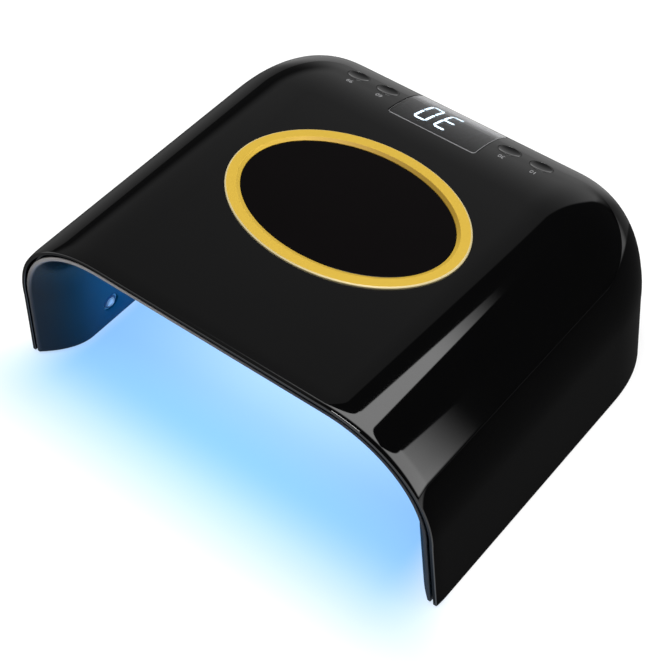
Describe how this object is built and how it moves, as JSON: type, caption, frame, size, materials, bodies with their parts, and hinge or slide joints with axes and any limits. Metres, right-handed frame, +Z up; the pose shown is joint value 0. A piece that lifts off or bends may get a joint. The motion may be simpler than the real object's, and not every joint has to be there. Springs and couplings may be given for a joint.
{
  "type": "nail lamp",
  "caption": "Arch-shaped LED nail lamp with a gilt oval on its flat roof, a curved timer display and dished timer keys on its rear edge.",
  "frame": {"origin": "Middle of the lamp's footprint, on the table that its four feet stand on.", "axes": "+X runs across the mouth to the right of someone who looks in at the mouth. +Y runs from the mouth to the power inlet. +Z is up."},
  "size_m": [0.225, 0.1932, 0.091],
  "materials": {
    "cover_black": "glossy",
    "liner_blue_black": "glossy",
    "gilt": "polished plating",
    "inlay_black": "glossy",
    "smoked_window": "glossy smoked plastic",
    "key_black": "glossy",
    "plunger_cream": "matt",
    "switch_black": "matt",
    "board_green": "satin lacquer",
    "board_white": "satin lacquer",
    "chip_black": "matt",
    "socket_white": "satin",
    "screw_steel": "zinc plated",
    "display_black": "matt",
    "segment_lit": "lit white",
    "segment_dark": "unlit",
    "jack_black": "satin",
    "contact_metal": "nickel plated",
    "lamp_clear": "clear dome",
    "receiver_dark": "dark dome",
    "lead_white": "soft insulation",
    "lead_red": "soft insulation",
    "lead_black": "soft insulation",
    "foot_rubber": "matt"
  },
  "bodies": {
    "lamp_body": {"outer_cover": "cover_black", "inner_liner": "liner_blue_black", "gold_ring": "gilt", "oval_inlay": "inlay_black", "display_window": "smoked_window", "tact_switch_10": "switch_black", "tact_switch_30": "switch_black", "tact_switch_60": "switch_black", "tact_switch_99": "switch_black", "control_board": "board_green", "control_board_chips": "chip_black", "lead_sockets": "socket_white", "control_board_screws": "screw_steel", "display_module": "display_black", "digit_segments_lit": "segment_lit", "digit_segments_dark": "segment_dark", "dc_jack": "jack_black", "dc_jack_pin": "contact_metal", "dc_jack_contacts": "contact_metal", "dc_jack_nut": "screw_steel", "roof_led_board": "board_white", "left_led_board": "board_white", "right_led_board": "board_white", "rear_led_board": "board_white", "left_shoulder_led_board": "board_white", "right_shoulder_led_board": "board_white", "roof_leds": "lamp_clear", "left_leds": "lamp_clear", "right_leds": "lamp_clear", "rear_leds": "lamp_clear", "left_shoulder_leds": "lamp_clear", "right_shoulder_leds": "lamp_clear", "led_board_screws": "screw_steel", "board_connectors": "socket_white", "infrared_emitter": "lamp_clear", "infrared_receiver": "receiver_dark", "power_lead_red": "lead_red", "power_lead_black": "lead_black", "roof_lead": "lead_white", "left_lead": "lead_white", "right_lead": "lead_white", "rear_lead": "lead_white", "left_shoulder_lead": "lead_white", "right_shoulder_lead": "lead_white", "cover_screws": "screw_steel", "foot_front_left": "foot_rubber", "foot_front_right": "foot_rubber", "foot_rear_left": "foot_rubber", "foot_rear_right": "foot_rubber"},
    "key_10": {"button_10": "key_black", "switch_plunger_10": "plunger_cream"},
    "key_30": {"button_30": "key_black", "switch_plunger_30": "plunger_cream"},
    "key_60": {"button_60": "key_black", "switch_plunger_60": "plunger_cream"},
    "key_99": {"button_99": "key_black", "switch_plunger_99": "plunger_cream"}
  },
  "joints": [
    {"name": "press_10", "type": "slide", "parent": "lamp_body", "child": "key_10", "axis": [0, -0.3089, -0.9511], "range_m": [0, 0.0006], "stiffness_N_per_m": 2500, "springref_m": -0.0002},
    {"name": "press_30", "type": "slide", "parent": "lamp_body", "child": "key_30", "axis": [0, -0.3089, -0.9511], "range_m": [0, 0.0006], "stiffness_N_per_m": 2500, "springref_m": -0.0002},
    {"name": "press_60", "type": "slide", "parent": "lamp_body", "child": "key_60", "axis": [0, -0.3089, -0.9511], "range_m": [0, 0.0006], "stiffness_N_per_m": 2500, "springref_m": -0.0002},
    {"name": "press_99", "type": "slide", "parent": "lamp_body", "child": "key_99", "axis": [0, -0.3089, -0.9511], "range_m": [0, 0.0006], "stiffness_N_per_m": 2500, "springref_m": -0.0002}
  ]
}
